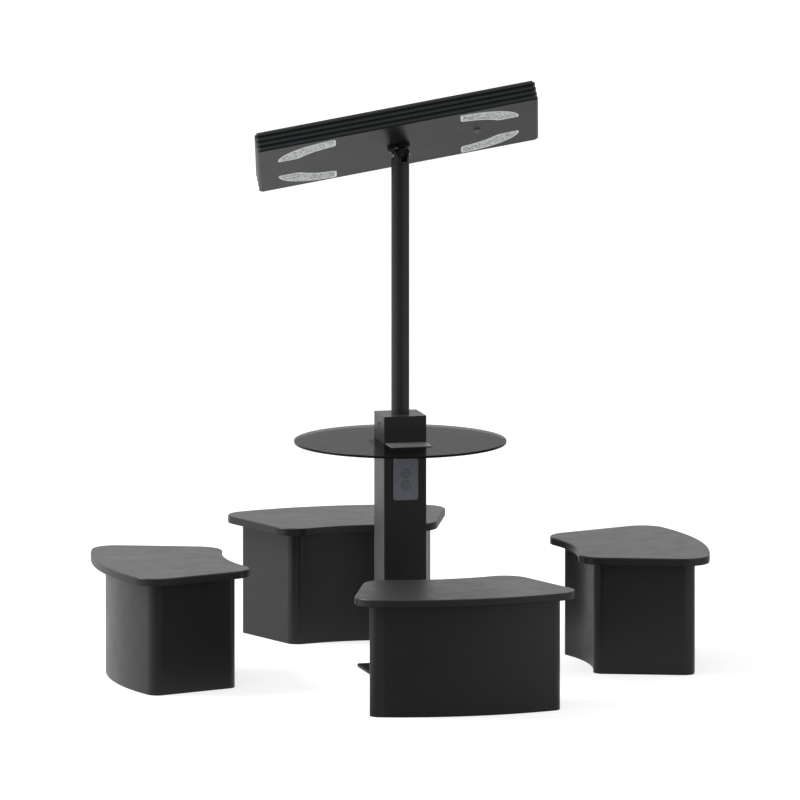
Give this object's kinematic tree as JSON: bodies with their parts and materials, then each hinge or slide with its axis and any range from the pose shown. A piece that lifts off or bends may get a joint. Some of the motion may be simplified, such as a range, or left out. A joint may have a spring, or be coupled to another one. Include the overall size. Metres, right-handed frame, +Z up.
{
  "type": "solar charging bench",
  "caption": "Square pedestal with a round glass table, a charging point and a tilting solar lamp head on a mast, with fan-shaped stools around it.",
  "frame": {"origin": "on the floor, on the axis of the pedestal and the mast", "axes": "+Z up, -Y towards the side with the charging point, +X to the right seen from there"},
  "size_m": [2.33, 2.33, 2.2797],
  "materials": {
    "charcoal_paint": "charcoal satin powder coat",
    "dark_paint": "black powder coat",
    "head_paint": "charcoal powder coat on an aluminium casting",
    "cast_black": "black painted casting",
    "zinc_steel": "zinc-plated steel",
    "black_steel": "black-coated steel",
    "clamp_steel": "grey satin paint on steel",
    "cover_plastic": "bluish translucent polycarbonate",
    "socket_plastic": "dark blue-grey moulded plastic",
    "grey_plastic": "grey moulded plastic",
    "battery_case": "blue shrink-wrapped battery case",
    "rubber_seal": "black rubber",
    "tinted_glass": "grey tinted toughened glass",
    "panel_glass": "clear tempered glass",
    "solar_cells": "dark monocrystalline cells under a clear laminate",
    "lens_crystal": "crystal-textured acrylic",
    "led_board": "white LED board",
    "sensor_dome": "grey translucent dome"
  },
  "bodies": {
    "root": {"pedestal_column": "charcoal_paint", "pedestal_cap": "charcoal_paint", "mast_tube": "charcoal_paint", "table_support_frame": "charcoal_paint", "stool_board_front": "charcoal_paint", "stool_board_right": "charcoal_paint", "stool_board_back": "charcoal_paint", "stool_board_left": "charcoal_paint", "stool_shell_front": "charcoal_paint", "stool_shell_right": "charcoal_paint", "stool_shell_back": "charcoal_paint", "stool_shell_left": "charcoal_paint", "base_plate": "dark_paint", "battery_shelf": "dark_paint", "mast_seat": "dark_paint", "stool_floor_plate_front": "dark_paint", "stool_floor_plate_right": "dark_paint", "stool_floor_plate_back": "dark_paint", "stool_floor_plate_left": "dark_paint", "door_hinge_pin": "zinc_steel", "cover_pin": "zinc_steel", "anchor_bolt_1": "black_steel", "anchor_bolt_2": "black_steel", "anchor_bolt_3": "black_steel", "anchor_bolt_4": "black_steel", "cap_screw": "black_steel", "table_clamp_front": "clamp_steel", "table_clamp_rear": "clamp_steel", "socket_frame": "socket_plastic", "socket_upper": "socket_plastic", "socket_lower": "socket_plastic", "charge_controller": "grey_plastic", "socket_power_module": "grey_plastic", "battery_pack": "battery_case", "table_gasket": "rubber_seal", "mast_cable": "rubber_seal", "glass_table": "tinted_glass"},
    "swivel_fork": {"mast_fork": "charcoal_paint", "tilt_bolt": "zinc_steel"},
    "lamp_head": {"head_flange": "cast_black", "head_housing": "head_paint", "solar_laminate": "solar_cells", "solar_glass": "panel_glass", "motion_sensor": "sensor_dome", "led_driver": "grey_plastic", "flange_bolt_1": "zinc_steel", "flange_bolt_2": "zinc_steel", "flange_bolt_3": "zinc_steel", "flange_bolt_4": "zinc_steel", "lens_near_left": "lens_crystal", "lens_near_right": "lens_crystal", "lens_far_right": "lens_crystal", "lens_far_left": "lens_crystal", "led_board_near_left": "led_board", "led_board_near_right": "led_board", "led_board_far_right": "led_board", "led_board_far_left": "led_board"},
    "socket_cover": {"socket_cover": "cover_plastic"},
    "service_door": {"service_door": "charcoal_paint"},
    "door_lock": {"door_lock": "zinc_steel"}
  },
  "joints": [
    {"name": "head_swivel", "type": "hinge", "parent": "root", "child": "swivel_fork", "pos_m": [0, 0, 1.962], "axis": [0, 0, 1], "range_deg": [-170, 170]},
    {"name": "head_tilt", "type": "hinge", "parent": "swivel_fork", "child": "lamp_head", "pos_m": [0, 0, 1.962], "axis": [0.9646, 0.2639, 0], "range_deg": [-21.8, 23.2]},
    {"name": "socket_cover_hinge", "type": "hinge", "parent": "root", "child": "socket_cover", "pos_m": [0, -0.0865, 0.8229], "axis": [-1, 0, 0], "range_deg": [0, 90]},
    {"name": "service_door_hinge", "type": "hinge", "parent": "root", "child": "service_door", "pos_m": [-0.0714, 0.0876, 0.31], "axis": [0, 0, 1], "range_deg": [0, 110]},
    {"name": "door_lock_turn", "type": "hinge", "parent": "service_door", "child": "door_lock", "pos_m": [0.0425, 0.082, 0.31], "axis": [0, -1, 0], "range_deg": [0, 90]}
  ]
}
